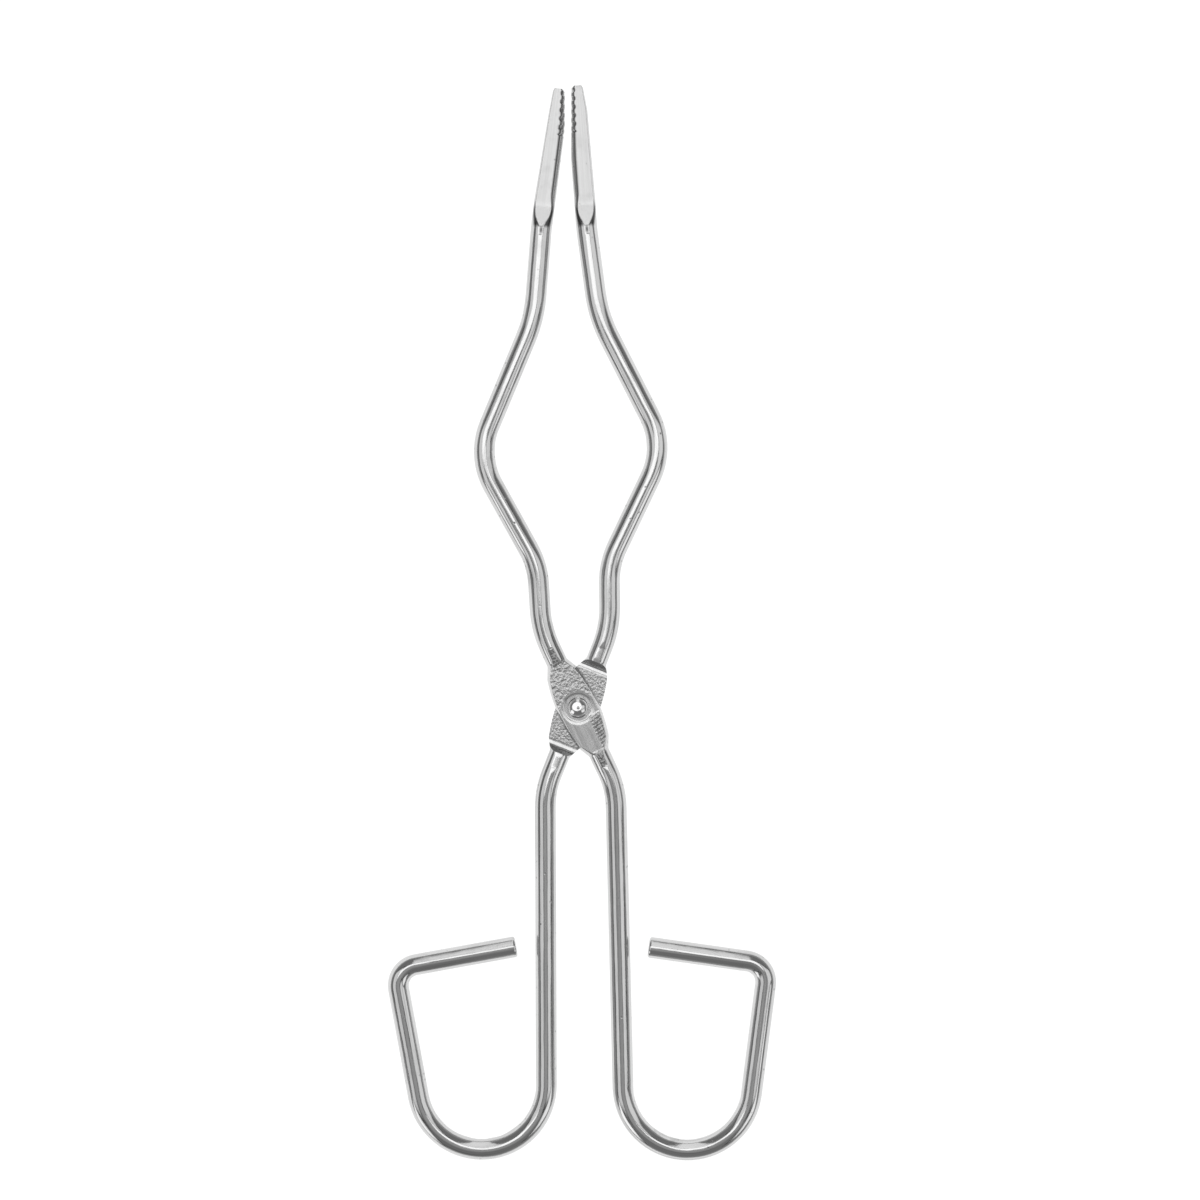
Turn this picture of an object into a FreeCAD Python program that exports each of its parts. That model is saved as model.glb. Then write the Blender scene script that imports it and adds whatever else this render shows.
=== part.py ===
import FreeCAD, Part
import os
from math import asin, cos, radians, sin, tan
from types import SimpleNamespace

from FreeCAD import Vector

# Crucible tongs: two bent steel rods, forged flat where they cross and joined by one rivet.
# Lengths are in millimetres. The tongs lie flat on a bench, which is the plane Z = 0. The rivet's
# axis is Z through the origin, +Y points to the jaws, and +Z is the side with the rivet's head.

# Rod
rod_diameter = 5.0
rod_end_chamfer = 0.4

# Heights of the bends above the rivet, along Y
jaw_reach = 146.6
jaw_root_y = 113.5
shoulder_y = 92.4
bow_y = 60.6
foot_y = 33.9
neck_y = 18.7

# Depths of the bends below the rivet
heel_depth = 19.3
loop_centre_depth = 89.3
loop_corner_depth = 61.2
stub_rise = 4.6

# Radii of the bends, at the rod's centre
root_bend = 60.0
shoulder_bend = 34.0
bow_bend = 16.5
foot_bend = 20.0
neck_bend = 25.0
heel_bend = 22.0
loop_bend = 15.25
corner_bend = 5.0

# The jaws' tips stand this many degrees apart at rest
rest_opening = 0.54715
rest_gap = jaw_reach * tan(radians(rest_opening))

# Distances from the centre line to the bends, and the angle at which the arm crosses that line.
# The arms are bent by hand over the same formers, so the two sets differ a little. The trims are
# what each arm adds to the shared lengths above.
front_bends = SimpleNamespace(
    grip=0.0, grip_lean=1.2, grip_length=9.0, jaw_root=6.3, shoulder=8.4, bow=22.7, foot=8.9,
    crossing=23.8, shank=8.75, loop_corner=43.7, stub_end=15.5,
    jaw_trim=-0.3, bow_trim=-0.6, loop_trim=0.6, corner_trim=0.4,
)
rear_bends = SimpleNamespace(
    grip=rest_gap, grip_lean=-1.2, grip_length=17.0, jaw_root=4.4, shoulder=6.8, bow=21.9, foot=8.1,
    crossing=22.9, shank=9.35, loop_corner=44.6, stub_end=15.8,
    jaw_trim=0.4, bow_trim=0.7, loop_trim=-0.6, corner_trim=-0.4,
)

# Jaw: pressed flat on both sides, and narrowing to the tip
jaw_ramp_start = -1.8
jaw_ramp_end = 5.6
jaw_bar_start = 6.4
jaw_bar_overlap = 0.6
jaw_bar_inset = 0.05
jaw_base_thickness = 2.7
jaw_tip_thickness = 2.2
jaw_nose_length = 5.8
jaw_nose_width = 3.9
jaw_tip_width = 2.8
jaw_inner_radius = 0.8
jaw_tip_chamfer = 0.6

# Grip teeth
toothed_length = 11.0
tooth_pitch = 2.0
tooth_groove_radius = 0.65
tooth_groove_depth = 0.38

# Half-lap: each arm keeps one half of its thickness for this far on both sides of the rivet
lap_reach = 9.5
lap_fillet = 2.0
lap_gap = 0.10

# Hinge forging: a swelling of the rod, pressed flat on both sides. Its shoulders lie inside the
# lap's ends, and its own ends and those of the pressed flats lie past them.
lap_end_inset = 0.5
lap_overrun = 2.5
press_overrun = 2.5
swell_radius = 5.0
swell_shoulder_radius = 3.9
swell_shoulder_reach = lap_reach - lap_end_inset
swell_reach = lap_reach + lap_overrun
swell_end_inset = 0.1
press_depth = 0.25
press_reach = lap_reach + press_overrun
press_runout = 3.3

# Rivet
rivet_shank_radius = 1.75
rivet_running_clearance = 0.05
rivet_head_radius = 2.45
rivet_head_lip = 0.15
rivet_head_dome = 1.35
rivet_tail_radius = 2.3
head_seat_radius = 3.45
head_seat_depth = 0.12
head_clearance = 0.05

rod_radius = rod_diameter / 2
plate_face = rod_radius - press_depth
beyond = 4 * rod_diameter
touch = 0.001

AXIS_X = Vector(1, 0, 0)
AXIS_Y = Vector(0, 1, 0)
AXIS_Z = Vector(0, 0, 1)
ORIGIN = Vector(0, 0, 0)


def unit(vector):
    return Vector(vector).normalize()


def left_of(direction):
    """The direction a quarter turn anticlockwise from this one, seen from +Z."""
    return Vector(-direction.y, direction.x, 0)


def leaning(degrees):
    """A direction along +Y that leans towards +X."""
    return Vector(sin(radians(degrees)), cos(radians(degrees)), 0)


def turned(shape, direction, origin=ORIGIN):
    """The shape with its own +Y turned to the direction and its own origin moved."""
    result = shape.copy()
    result.Placement = FreeCAD.Placement(origin, FreeCAD.Rotation(AXIS_Y, direction))
    return result


def prism(points, height_vector):
    """A prism on the closed outline through the points."""
    return Part.Face(Part.makePolygon(points + points[:1])).extrude(height_vector)


def side_prism(profile):
    """A prism along X. Its profile is a list of (y, z) corners, seen from the side."""
    return prism([Vector(-beyond, y, z) for y, z in profile], AXIS_X * (2 * beyond))


def mirrored_down(shape):
    """The shape's mirror image below the rod's middle plane."""
    return shape.mirror(ORIGIN, AXIS_Z)


def bent_run(corners, bends):
    """The edges of straight runs between the corners, joined by tangent arcs of the given radii."""
    edges = []
    start = corners[0]
    for before, corner, after, bend in zip(corners, corners[1:], corners[2:], bends):
        arriving = unit(corner - before)
        leaving = unit(after - corner)
        half_turn = arriving.getAngle(leaving) / 2
        setback = bend * tan(half_turn)
        arc_start = corner - arriving * setback
        arc_middle = corner + unit(leaving - arriving) * (bend / cos(half_turn) - bend)
        arc_end = corner + leaving * setback
        edges.append(Part.LineSegment(start, arc_start).toShape())
        edges.append(Part.Arc(arc_start, arc_middle, arc_end).toShape())
        start = arc_end
    edges.append(Part.LineSegment(start, corners[-1]).toShape())
    return edges


def touching_point(point, centre, radius, side):
    """Where a line from the point touches a circle, on the left of its centre if side is 1."""
    to_centre = centre - point
    reach = (to_centre.Length ** 2 - radius ** 2) ** 0.5
    along = unit(to_centre) * (reach ** 2 / to_centre.Length)
    across = left_of(unit(to_centre)) * (reach * radius / to_centre.Length)
    return point + along + across * side


def bent_rod(bends, jaw_root, jaw_direction):
    """The round rod, from the base of the jaw to the free end of the finger loop's stub."""
    crossing = leaning(-bends.crossing)
    neck = crossing * (neck_y / crossing.y)
    heel = crossing * (-heel_depth / crossing.y)
    loop_centre = Vector(bends.shank + loop_bend, -loop_centre_depth - bends.loop_trim, 0)
    loop_corner = Vector(bends.loop_corner, -loop_corner_depth - bends.corner_trim, 0)
    stub_end = Vector(bends.stub_end, loop_corner.y + stub_rise, 0)
    shank_foot = touching_point(heel, loop_centre, loop_bend, -1)
    leg_foot = touching_point(loop_corner, loop_centre, loop_bend, 1)
    downwards = unit(unit(shank_foot - heel) - unit(loop_corner - leg_foot))

    start = jaw_root + jaw_direction * (jaw_bar_start + jaw_bar_overlap)
    shoulder = Vector(-bends.shoulder, shoulder_y, 0)
    bow = Vector(-bends.bow, bow_y + bends.bow_trim, 0)
    foot = Vector(-bends.foot, foot_y, 0)
    arm_corners = [start, jaw_root, shoulder, bow, foot, neck, heel, shank_foot]
    arm_bends = [root_bend, shoulder_bend, bow_bend, foot_bend, neck_bend, heel_bend]
    edges = bent_run(arm_corners, arm_bends)
    edges.append(Part.Arc(shank_foot, loop_centre + downwards * loop_bend, leg_foot).toShape())
    edges += bent_run([leg_foot, loop_corner, stub_end], [corner_bend])

    section = Part.Face(Part.Wire([Part.Circle(start, jaw_direction, rod_radius).toShape()]))
    rod = Part.Wire(edges).makePipe(section)
    end_rim = min(rod.Edges, key=lambda edge: edge.CenterOfMass.distanceToPoint(stub_end))
    return rod.makeChamfer(rod_end_chamfer, [end_rim])


def jaw_press(jaw_length):
    """What the press takes off the upper side of a jaw: a ramp, then a flat that falls gently."""
    base = jaw_base_thickness / 2
    fall = (jaw_base_thickness - jaw_tip_thickness) / 2 / (jaw_length - jaw_ramp_end)
    past_tip = jaw_length + beyond
    return side_prism([
        (jaw_ramp_start, rod_radius),
        (jaw_ramp_end, base),
        (past_tip, base - fall * (past_tip - jaw_ramp_end)),
        (past_tip, beyond),
        (jaw_ramp_start, beyond),
    ])


def edges_over(shape, start, end):
    """The edges that lie over the line between two points of the plan, such as its upper edge."""
    along = unit(end - start)
    found = []
    for edge in shape.Edges:
        offsets = [Vector(v.X, v.Y, 0) - start for v in edge.Vertexes]
        on_line = all(abs(along.cross(offset).z) < touch for offset in offsets)
        if on_line and abs((offsets[-1] - offsets[0]).dot(along)) > touch:
            found.append(edge)
    return found


def upright_edges(shape, points):
    """The edges that stand upright at these points of the plan."""
    found = []
    for edge in shape.Edges:
        ends = [Vector(v.X, v.Y, 0) for v in edge.Vertexes]
        if any(all(end.distanceToPoint(point) < touch for end in ends) for point in points):
            found.append(edge)
    return found


def tooth_grooves(tip, grip_line):
    """Round-bottomed grooves across the grip."""
    outwards = left_of(grip_line)
    grooves = []
    for n in range(round(toothed_length / tooth_pitch)):
        centre = tip - grip_line * (tooth_pitch * (n + 0.5))
        centre -= outwards * (tooth_groove_radius - tooth_groove_depth)
        centre -= AXIS_Z * rod_radius
        grooves.append(Part.makeCylinder(tooth_groove_radius, rod_diameter, centre, AXIS_Z))
    return grooves


def jaw_bar(bends, base, half_base, tip, presses):
    """The flat bar of the jaw, with a toothed grip on its inner side."""
    grip_line = leaning(bends.grip_lean)
    outwards = left_of(grip_line)
    inner_base = base - half_base
    grip_foot = tip - grip_line * bends.grip_length
    outer_tip = tip + outwards * jaw_tip_width
    nose = tip - grip_line * jaw_nose_length + outwards * jaw_nose_width
    outline = [inner_base, grip_foot, tip, outer_tip, nose, base + half_base]
    bar = prism([point - AXIS_Z * rod_radius for point in outline], AXIS_Z * rod_diameter)
    bar = bar.cut(presses)
    inner_edges = edges_over(bar, inner_base, grip_foot) + edges_over(bar, grip_foot, tip)
    bar = bar.makeFillet(jaw_inner_radius, inner_edges)
    bar = bar.makeChamfer(jaw_tip_chamfer, upright_edges(bar, [tip, outer_tip]))
    return bar.cut(tooth_grooves(tip, grip_line))


def swelling():
    """The swelling of the rod at the hinge, round about the arm's own axis."""
    end_radius = rod_radius - swell_end_inset
    points = {
        "foot": Vector(end_radius, -swell_reach, 0),
        "foot shoulder": Vector(swell_shoulder_radius, -swell_shoulder_reach, 0),
        "middle": Vector(swell_radius, 0, 0),
        "head shoulder": Vector(swell_shoulder_radius, swell_shoulder_reach, 0),
        "head": Vector(end_radius, swell_reach, 0),
    }
    side = Part.Arc(points["foot shoulder"], points["middle"], points["head shoulder"]).toShape()
    edges = [
        Part.makeLine(Vector(0, -swell_reach, 0), points["foot"]),
        Part.makeLine(points["foot"], points["foot shoulder"]),
        side,
        Part.makeLine(points["head shoulder"], points["head"]),
        Part.makeLine(points["head"], Vector(0, swell_reach, 0)),
        Part.makeLine(Vector(0, swell_reach, 0), Vector(0, -swell_reach, 0)),
    ]
    return Part.Face(Part.Wire(edges)).revolve(ORIGIN, AXIS_Y, 360)


def plate_press():
    """What the press takes off the front of the hinge forging. Its ends run out gently."""
    return side_prism([
        (-press_reach - press_runout, rod_radius),
        (-press_reach, plate_face),
        (press_reach, plate_face),
        (press_reach + press_runout, rod_radius),
        (press_reach + press_runout, beyond),
        (-press_reach - press_runout, beyond),
    ])


def lap_cut():
    """What is cut from the back of the hinge forging, so that the other arm's half fits there."""
    floor = lap_gap / 2
    wall = lap_reach + lap_fillet
    rise = lap_fillet * (1 - cos(radians(45)))
    corner = lap_reach + lap_fillet * sin(radians(45))

    def at(y, z):
        return Vector(-beyond, y, z)

    edges = [
        Part.makeLine(at(-lap_reach, floor), at(lap_reach, floor)),
        Part.Arc(at(lap_reach, floor), at(corner, floor - rise), at(wall, floor - lap_fillet)).toShape(),
        Part.makeLine(at(wall, floor - lap_fillet), at(wall, -beyond)),
        Part.makeLine(at(wall, -beyond), at(-wall, -beyond)),
        Part.makeLine(at(-wall, -beyond), at(-wall, floor - lap_fillet)),
        Part.Arc(at(-wall, floor - lap_fillet), at(-corner, floor - rise), at(-lap_reach, floor)).toShape(),
    ]
    return Part.Face(Part.Wire(edges)).extrude(AXIS_X * (2 * beyond))


def arm(bends):
    """One arm about the middle plane, with its jaw on the left and its hinge plate in front."""
    jaw_root = Vector(-bends.jaw_root, jaw_root_y, 0)
    tip = Vector(-bends.grip, jaw_reach + bends.jaw_trim, 0)
    tip_middle = tip + left_of(leaning(bends.grip_lean)) * (jaw_tip_width / 2)
    jaw_direction = unit(tip_middle - jaw_root)
    press = turned(jaw_press((tip - jaw_root).Length), jaw_direction, jaw_root)
    presses = [press, mirrored_down(press)]
    rod = bent_rod(bends, jaw_root, jaw_direction).cut(presses)

    base = jaw_root + jaw_direction * jaw_bar_start
    half_base = left_of(jaw_direction) * (rod_radius - jaw_bar_inset)
    bar = jaw_bar(bends, base, half_base, tip, presses)

    crossing = leaning(-bends.crossing)
    plate = plate_press()
    hinge_cuts = [plate, mirrored_down(plate), lap_cut()]
    forging = rod.fuse([bar, turned(swelling(), crossing)])
    return forging.cut([turned(tool, crossing) for tool in hinge_cuts])


def upright_cylinder(radius, bottom, top):
    return Part.makeCylinder(radius, top - bottom, Vector(0, 0, bottom), AXIS_Z)


def front_arm():
    """The arm whose plate lies in front: it turns on the rivet."""
    bore = upright_cylinder(rivet_shank_radius + rivet_running_clearance, -rod_radius, rod_radius)
    seat = upright_cylinder(head_seat_radius, plate_face - head_seat_depth, rod_radius)
    return arm(front_bends).cut([bore, seat])


def rear_arm():
    """The arm whose plate lies behind: the same forging turned over. It holds the rivet."""
    bore = upright_cylinder(rivet_shank_radius, -rod_radius, rod_radius)
    turned_over = arm(rear_bends).cut(bore)
    turned_over.rotate(ORIGIN, AXIS_Y, 180)
    return turned_over


def pivot_rivet():
    """The rivet: a domed head in front, and a tail hammered flat on the bench side."""
    head_base = plate_face - head_seat_depth + head_clearance
    lip_top = head_base + rivet_head_lip
    dome_top = lip_top + rivet_head_dome
    dome_radius = (rivet_head_radius ** 2 + rivet_head_dome ** 2) / (2 * rivet_head_dome)
    dome_centre = dome_top - dome_radius
    half_angle = asin(rivet_head_radius / dome_radius) / 2
    dome_middle = Vector(dome_radius * sin(half_angle), 0, dome_centre + dome_radius * cos(half_angle))
    corners = [
        Vector(0, 0, -rod_radius),
        Vector(rivet_tail_radius, 0, -rod_radius),
        Vector(rivet_tail_radius, 0, -plate_face),
        Vector(rivet_shank_radius, 0, -plate_face),
        Vector(rivet_shank_radius, 0, head_base),
        Vector(rivet_head_radius, 0, head_base),
        Vector(rivet_head_radius, 0, lip_top),
    ]
    edges = [Part.makeLine(a, b) for a, b in zip(corners, corners[1:])]
    edges.append(Part.Arc(corners[-1], dome_middle, Vector(0, 0, dome_top)).toShape())
    edges.append(Part.makeLine(Vector(0, 0, dome_top), corners[0]))
    return Part.Face(Part.Wire(edges)).revolve(ORIGIN, AXIS_Z, 360)


os.makedirs("parts", exist_ok=True)
for make in (front_arm, rear_arm, pivot_rivet):
    piece = make()
    piece.translate(AXIS_Z * rod_radius)
    piece.exportStep("parts/" + make.__name__ + ".step")
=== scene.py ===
from math import atan2, ceil, cos, hypot, pi, radians, sin, tan

import bmesh
import bpy
from mathutils import Matrix, Vector


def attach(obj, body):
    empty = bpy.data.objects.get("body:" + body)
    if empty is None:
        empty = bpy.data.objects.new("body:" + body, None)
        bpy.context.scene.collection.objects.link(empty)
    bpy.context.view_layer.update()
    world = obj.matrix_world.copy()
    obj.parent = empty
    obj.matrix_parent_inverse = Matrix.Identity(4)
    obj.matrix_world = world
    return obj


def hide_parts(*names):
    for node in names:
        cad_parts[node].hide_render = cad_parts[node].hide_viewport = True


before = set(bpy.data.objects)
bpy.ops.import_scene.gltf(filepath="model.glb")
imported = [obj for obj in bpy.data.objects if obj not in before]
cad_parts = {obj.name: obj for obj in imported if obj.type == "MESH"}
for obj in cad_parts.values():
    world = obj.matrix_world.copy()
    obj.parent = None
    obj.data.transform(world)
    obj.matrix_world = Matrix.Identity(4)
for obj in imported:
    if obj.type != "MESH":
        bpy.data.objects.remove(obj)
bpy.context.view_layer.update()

MM = 0.001

# ----------------------------------------------------------------------
# Sizes of the tongs, in millimetres, in the frame of one arm: the rivet's axis is the origin,
# +Y points to the jaws, and the arm's jaw is on the left. Heights are above the rod's middle.
# ----------------------------------------------------------------------
ROD = 2.5
ROD_END_BEVEL = 0.62
MIDDLE_PLANE = 2.5

JAW_REACH = 146.6
JAW_ROOT_Y = 113.5
SHOULDER_Y = 92.4
BOW_Y = 60.6
FOOT_Y = 33.9
NECK_Y = 18.7
HEEL_DEPTH = 19.3
LOOP_CENTRE_DEPTH = 89.3
LOOP_CORNER_DEPTH = 61.2
STUB_RISE = 4.6
ARM_BENDS = [60.0, 34.0, 16.5, 20.0, 25.0, 22.0]
LOOP_BEND = 15.25
CORNER_BEND = 5.0
REST_OPENING = 0.54715

# The two arms are bent by hand over the same formers, so their bends differ a little
FRONT_BENDS = dict(
    grip=0.0, grip_lean=1.2, grip_length=9.0, jaw_root=6.3, shoulder=8.4, bow=22.7, foot=8.9,
    crossing=23.8, shank=8.75, loop_corner=43.7, stub_end=15.5,
    jaw_trim=-0.3, bow_trim=-0.6, loop_trim=0.6, corner_trim=0.4,
)
REAR_BENDS = dict(
    grip=JAW_REACH * tan(radians(REST_OPENING)), grip_lean=-1.2, grip_length=17.0,
    jaw_root=4.4, shoulder=6.8, bow=21.9, foot=8.1,
    crossing=22.9, shank=9.35, loop_corner=44.6, stub_end=15.8,
    jaw_trim=0.4, bow_trim=0.7, loop_trim=-0.6, corner_trim=-0.4,
)

# The jaw. Its flats run out into the round rod, at distances from its root towards the tip
FLAT_RUNOUT, FLAT_START, BAR_START = -0.6, 5.6, 6.4
BASE_THICKNESS, TIP_THICKNESS = 2.7, 2.2
NOSE_LENGTH, NOSE_WIDTH, TIP_WIDTH = 5.8, 3.9, 2.8
TIP_BEVEL = 0.6
# How high the jaw's sides would rise unpressed, as a share of its half-thickness
INNER_SIDE_RISE, OUTER_SIDE_RISE = 1.27, 1.75

# The half-lap: how far its floor and then its shoulder reach from the rivet. The shoulder starts
# with a gently sloped foot.
LAP_REACH, LAP_SHOULDER, SHOULDER_FOOT, FOOT_SLOPE = 9.5, 2.1, 0.55, 0.09
LAP_GAP = 0.10
# The swelling that the hinge is pressed from: radii and how far from the rivet they reach
SWELL, SWELL_SHOULDER = 5.0, 3.9
SWELL_SHOULDER_REACH, SWELL_REACH, SWELL_END = 9.0, 12.0, 2.4
PLATE_FACE, PRESS_REACH, PRESS_RUNOUT = 2.25, 12.0, 3.3
HINGE_REACH = 15.2

SEAT_RADIUS, SEAT_DEPTH = 3.45, 0.12
SHANK_RADIUS, RUNNING_CLEARANCE = 1.75, 0.05
HEAD_RADIUS, HEAD_LIP, HEAD_DOME, TAIL_RADIUS = 2.45, 0.15, 1.35, 2.3
HEAD_CLEARANCE = 0.05
# Dents in the rivet's head: x, y, half-width and depth
RIVET_DENTS = [(0.05, 0.0, 0.34, 0.20), (-0.05, -0.85, 0.75, 0.05)]

# Height of a flat that presses nothing
FAR = 9.0


def blended(x, points):
    """The value at x of straight runs between (x, value) points, held flat beyond the ends."""
    if x <= points[0][0]:
        return points[0][1]
    for (x0, v0), (x1, v1) in zip(points, points[1:]):
        if x <= x1:
            return v0 + (v1 - v0) * (x - x0) / (x1 - x0)
    return points[-1][1]


def eased(x, low, high):
    """0 below low, 1 above high, and a smooth step between them."""
    t = min(1.0, max(0.0, (x - low) / (high - low)))
    return t * t * (3 - 2 * t)


def leaning(angle):
    return Vector((sin(radians(angle)), cos(radians(angle))))


def left_of(direction):
    return Vector((-direction.y, direction.x))


def touching_point(point, centre, radius, side):
    """Where a line from the point touches a circle, on the left of its centre if side is 1."""
    to_centre = centre - point
    reach = (to_centre.length_squared - radius ** 2) ** 0.5
    unit = to_centre.normalized()
    along = unit * (reach ** 2 / to_centre.length)
    return point + along + left_of(unit) * (side * reach * radius / to_centre.length)


# ----------------------------------------------------------------------
# The bent path of an arm, from the tip of its jaw to the free end of its stub
# ----------------------------------------------------------------------
class BentPath:
    """Straight runs and arcs, as a list of (length, point, direction, turn) pieces."""

    def __init__(self):
        self.runs = []
        self.length = 0.0

    def add(self, point, direction, length, bend=None, side=0):
        self.runs.append((self.length, length, point.copy(), direction.copy(), bend, side))
        self.length += length

    def at(self, s):
        """The point and the direction of travel at this distance along the path."""
        for start, length, point, direction, bend, side in self.runs:
            if s <= start + length or (start, length) == self.runs[-1][:2]:
                d = s - start
                if bend is None:
                    return point + direction * d, direction
                turn = side * d / bend
                centre = point + left_of(direction) * (side * bend)
                out = point - centre
                c, n = cos(turn), sin(turn)
                rolled = Vector((out.x * c - out.y * n, out.x * n + out.y * c))
                heading = Vector((direction.x * c - direction.y * n,
                                  direction.x * n + direction.y * c))
                return centre + rolled, heading
        raise ValueError(s)

    def squeeze(self, s):
        """How hard the former squeezed the rod here: positive if on the left side, 0 to 1."""
        total = 0.0
        for start, length, _, _, bend, side in self.runs:
            if bend is not None:
                inside = eased(s, start - 1.5, start + 1.5) * eased(start + length - s, -1.5, 1.5)
                total += side * inside * min(1.0, 15.0 / bend)
        return total

    def through(self, corners, bends):
        """Runs between the corners, joined by arcs of the given bends."""
        start = corners[0]
        for before, corner, after, bend in zip(corners, corners[1:], corners[2:], bends):
            arriving, leaving = (corner - before).normalized(), (after - corner).normalized()
            side = 1 if left_of(arriving).dot(leaving) > 0 else -1
            half = arriving.angle(leaving) / 2
            setback = bend * tan(half)
            arc_start = corner - arriving * setback
            self.add(start, arriving, (arc_start - start).length)
            self.add(arc_start, arriving, bend * 2 * half, bend, side)
            start = corner + leaving * setback
        self.add(start, (corners[-1] - start).normalized(), (corners[-1] - start).length)

    def steps(self, special):
        """Distances along the path: close in the bends, wide on straight runs, and as close as
        each (from, to, step) of the special stretches asks."""
        stops = {0.0, self.length}
        for start, length, _, _, bend, _ in self.runs:
            pitch = 2.2 if bend is None else min(1.4, bend * radians(5))
            count = max(1, ceil(length / pitch))
            stops.update(start + length * k / count for k in range(count + 1))
        for low, high, pitch in special:
            stops = {s for s in stops if not low < s < high}
            count = max(1, ceil((high - low) / pitch))
            stops.update(low + (high - low) * k / count for k in range(count + 1))
        tidy = []
        for s in sorted(stops):
            if not tidy or s - tidy[-1] > 0.02:
                tidy.append(s)
        return tidy


def arm_path(bends):
    """The path, with the distances along it of the jaw's root and of the rivet."""
    root = Vector((-bends["jaw_root"], JAW_ROOT_Y))
    grip_line = leaning(bends["grip_lean"])
    tip = Vector((-bends["grip"], JAW_REACH + bends["jaw_trim"]))
    tip_middle = tip + left_of(grip_line) * (TIP_WIDTH / 2)
    crossing = leaning(-bends["crossing"])
    neck = crossing * (NECK_Y / crossing.y)
    heel = crossing * (-HEEL_DEPTH / crossing.y)
    loop_centre = Vector((bends["shank"] + LOOP_BEND, -LOOP_CENTRE_DEPTH - bends["loop_trim"]))
    corner = Vector((bends["loop_corner"], -LOOP_CORNER_DEPTH - bends["corner_trim"]))
    stub_end = Vector((bends["stub_end"], corner.y + STUB_RISE))
    shank_foot = touching_point(heel, loop_centre, LOOP_BEND, -1)
    leg_foot = touching_point(corner, loop_centre, LOOP_BEND, 1)

    path = BentPath()
    path.through([
        tip_middle, root, Vector((-bends["shoulder"], SHOULDER_Y)),
        Vector((-bends["bow"], BOW_Y + bends["bow_trim"])), Vector((-bends["foot"], FOOT_Y)),
        neck, heel, shank_foot,
    ], ARM_BENDS)
    arriving = (shank_foot - heel).normalized()
    leaving = (corner - leg_foot).normalized()
    turn = pi * 2 - (atan2(arriving.y, arriving.x) - atan2(leaving.y, leaving.x)) % (pi * 2)
    path.add(shank_foot, arriving, turn * LOOP_BEND, LOOP_BEND, 1)
    path.through([leg_foot, corner, stub_end], [CORNER_BEND])

    jaw_length = (tip_middle - root).length
    rivet_at = min((path.at(k * 0.01)[0].length, k * 0.01) for k in range(12000, 19000))[1]
    return path, root, tip, tip_middle, jaw_length, rivet_at


# ----------------------------------------------------------------------
# The section of an arm at each step: half-widths on both sides of the path, how high the section
# would rise on each side if nothing pressed it, and the heights of the flats that press it
# ----------------------------------------------------------------------
def jaw_outline(bends, root, tip, tip_middle):
    """The jaw's inner and outer edges as (distance from the tip, half-width) points."""
    grip_line = leaning(bends["grip_lean"])
    outwards = left_of(grip_line)
    along = (root - tip_middle).normalized()
    inwards = left_of(along)

    def placed(point):
        return (point - tip_middle).dot(along), (point - tip_middle).dot(inwards)

    reach = (root - tip_middle).length
    outer_tip = tip + outwards * TIP_WIDTH
    nose = tip - grip_line * NOSE_LENGTH + outwards * NOSE_WIDTH
    inner = [placed(tip), placed(tip - grip_line * bends["grip_length"]), (reach - BAR_START, ROD)]
    outer = [placed(outer_tip), placed(nose), (reach - BAR_START, -ROD)]
    return inner, [(d, -w) for d, w in outer]


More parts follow.
